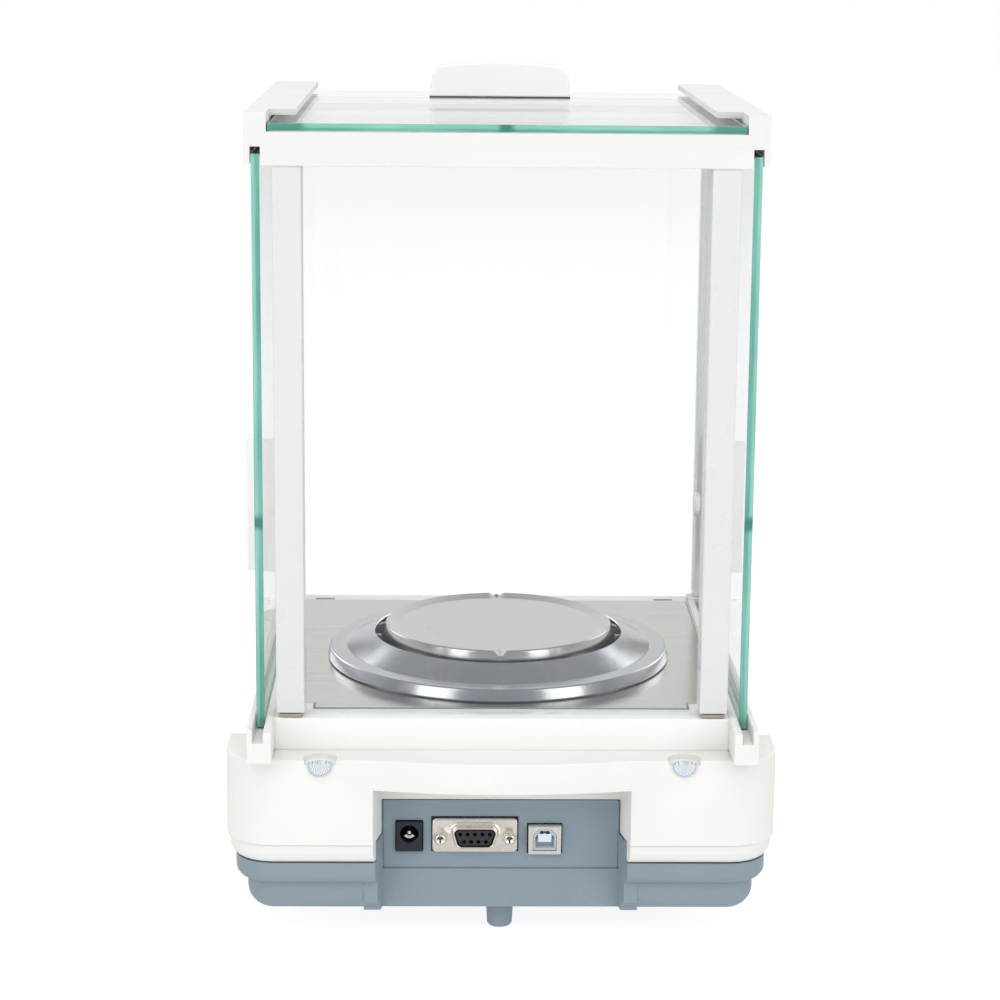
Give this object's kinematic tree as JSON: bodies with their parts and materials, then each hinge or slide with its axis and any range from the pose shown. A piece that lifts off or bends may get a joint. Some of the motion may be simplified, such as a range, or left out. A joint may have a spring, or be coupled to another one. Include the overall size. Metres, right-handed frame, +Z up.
{
  "type": "analytical balance",
  "caption": "Laboratory analytical balance with a glass draught shield, sliding side and top doors, round pan in a wind ring, keypad deck and rear connectors.",
  "frame": {"origin": "middle of the footprint, on the surface the feet stand on", "axes": "+Z up, -Y towards the user at the display, +Y towards the connectors, +X to the user's right"},
  "size_m": [0.2062, 0.324, 0.31],
  "materials": {
    "white_shell": "satin moulded plastic",
    "blue_grey_shell": "fine matte texture",
    "panel_grey": "matte",
    "dark_plastic": "satin",
    "nickel": "nickel plated",
    "brass_pin": "polished",
    "usb_insert": "satin",
    "circuit_board": "glass fibre board with lacquer",
    "rubber": "matte",
    "glass": "clear float glass with ground green edges",
    "window": "tinted clear cover",
    "liquid_crystal": "display module",
    "key_top": "satin",
    "vial": "filled with green liquid",
    "post": "light satin",
    "steel": "brushed and polished",
    "aluminium": "machined",
    "magnet_steel": "plated",
    "copper": "enamelled winding",
    "pad": "matte",
    "seal": "foil seal"
  },
  "bodies": {
    "base": {"lower_housing": "blue_grey_shell", "housing_skirt": "white_shell", "upper_housing": "white_shell", "connector_panel": "panel_grey", "dc_jack_body": "dark_plastic", "dc_jack_pin": "brass_pin", "db9_shell": "nickel", "db9_insert": "dark_plastic", "db9_jackscrew_left": "nickel", "db9_jackscrew_right": "nickel", "usb_shell": "nickel", "usb_tongue": "usb_insert", "main_board": "circuit_board", "control_panel": "panel_grey", "display_window": "window", "lcd_module": "liquid_crystal", "key_board": "circuit_board", "level_holder": "blue_grey_shell", "level_vial": "vial", "chamber_base": "white_shell", "floor_plate": "steel", "front_glass": "glass", "rear_glass": "glass", "top_frame": "white_shell", "rear_foot": "blue_grey_shell", "wind_ring": "steel", "load_cell_frame": "aluminium", "magnet_pot": "magnet_steel", "lower_rail_left": "white_shell", "rear_post_left": "post", "post_pad_left": "pad", "front_jamb_left": "post", "seal_sticker_left": "seal", "lower_rail_right": "white_shell", "rear_post_right": "post", "post_pad_right": "pad", "front_jamb_right": "post", "seal_sticker_right": "seal"},
    "door_left": {"door_glass_left": "glass", "door_handle_left": "white_shell", "door_knob_left": "white_shell"},
    "door_right": {"door_glass_right": "glass", "door_handle_right": "white_shell", "door_knob_right": "white_shell"},
    "top_door": {"top_glass": "glass", "top_handle": "white_shell"},
    "pan": {"weighing_pan": "steel", "pan_support": "aluminium", "load_receiver": "aluminium", "coil_lever": "copper"},
    "key_power": {"key_power": "key_top"},
    "key_menu": {"key_menu": "key_top"},
    "key_tare_left": {"key_tare_left": "key_top"},
    "key_calibrate": {"key_calibrate": "key_top"},
    "key_print": {"key_print": "key_top"},
    "key_tare_right": {"key_tare_right": "key_top"},
    "pad_left": {"foot_pad_left": "rubber"},
    "wheel_left": {"foot_wheel_left": "blue_grey_shell"},
    "pad_right": {"foot_pad_right": "rubber"},
    "wheel_right": {"foot_wheel_right": "blue_grey_shell"}
  },
  "joints": [
    {"name": "door_left_slide", "type": "slide", "parent": "base", "child": "door_left", "axis": [0, 1, 0], "range_m": [0, 0.13]},
    {"name": "door_right_slide", "type": "slide", "parent": "base", "child": "door_right", "axis": [0, 1, 0], "range_m": [0, 0.13]},
    {"name": "top_door_slide", "type": "slide", "parent": "base", "child": "top_door", "axis": [0, 1, 0], "range_m": [0, 0.12]},
    {"name": "pan_travel", "type": "slide", "parent": "base", "child": "pan", "axis": [0, 0, 1], "range_m": [-0.001, 0], "stiffness_N_per_m": 20000},
    {"name": "key_power_press", "type": "slide", "parent": "base", "child": "key_power", "axis": [0, 0.2324, -0.9726], "range_m": [0, 0.0012], "stiffness_N_per_m": 300},
    {"name": "key_menu_press", "type": "slide", "parent": "base", "child": "key_menu", "axis": [0, 0.2324, -0.9726], "range_m": [0, 0.0012], "stiffness_N_per_m": 300},
    {"name": "key_tare_left_press", "type": "slide", "parent": "base", "child": "key_tare_left", "axis": [0, 0.2324, -0.9726], "range_m": [0, 0.0012], "stiffness_N_per_m": 300},
    {"name": "key_calibrate_press", "type": "slide", "parent": "base", "child": "key_calibrate", "axis": [0, 0.2324, -0.9726], "range_m": [0, 0.0012], "stiffness_N_per_m": 300},
    {"name": "key_print_press", "type": "slide", "parent": "base", "child": "key_print", "axis": [0, 0.2324, -0.9726], "range_m": [0, 0.0012], "stiffness_N_per_m": 300},
    {"name": "key_tare_right_press", "type": "slide", "parent": "base", "child": "key_tare_right", "axis": [0, 0.2324, -0.9726], "range_m": [0, 0.0012], "stiffness_N_per_m": 300},
    {"name": "foot_left_height", "type": "slide", "parent": "base", "child": "pad_left", "axis": [0, 0, 1], "range_m": [-0.002, 0.001]},
    {"name": "foot_left_turn", "type": "hinge", "parent": "pad_left", "child": "wheel_left", "pos_m": [-0.076, -0.126, 0.007], "axis": [0, 0, 1], "range_deg": [-730, 370]},
    {"name": "foot_right_height", "type": "slide", "parent": "base", "child": "pad_right", "axis": [0, 0, 1], "range_m": [-0.002, 0.001]},
    {"name": "foot_right_turn", "type": "hinge", "parent": "pad_right", "child": "wheel_right", "pos_m": [0.076, -0.126, 0.007], "axis": [0, 0, 1], "range_deg": [-730, 370]}
  ],
  "couplings": [
    {"joint": "foot_left_turn", "follows": "foot_left_height", "rad_per_m": 6283.2},
    {"joint": "foot_right_turn", "follows": "foot_right_height", "rad_per_m": 6283.2}
  ]
}
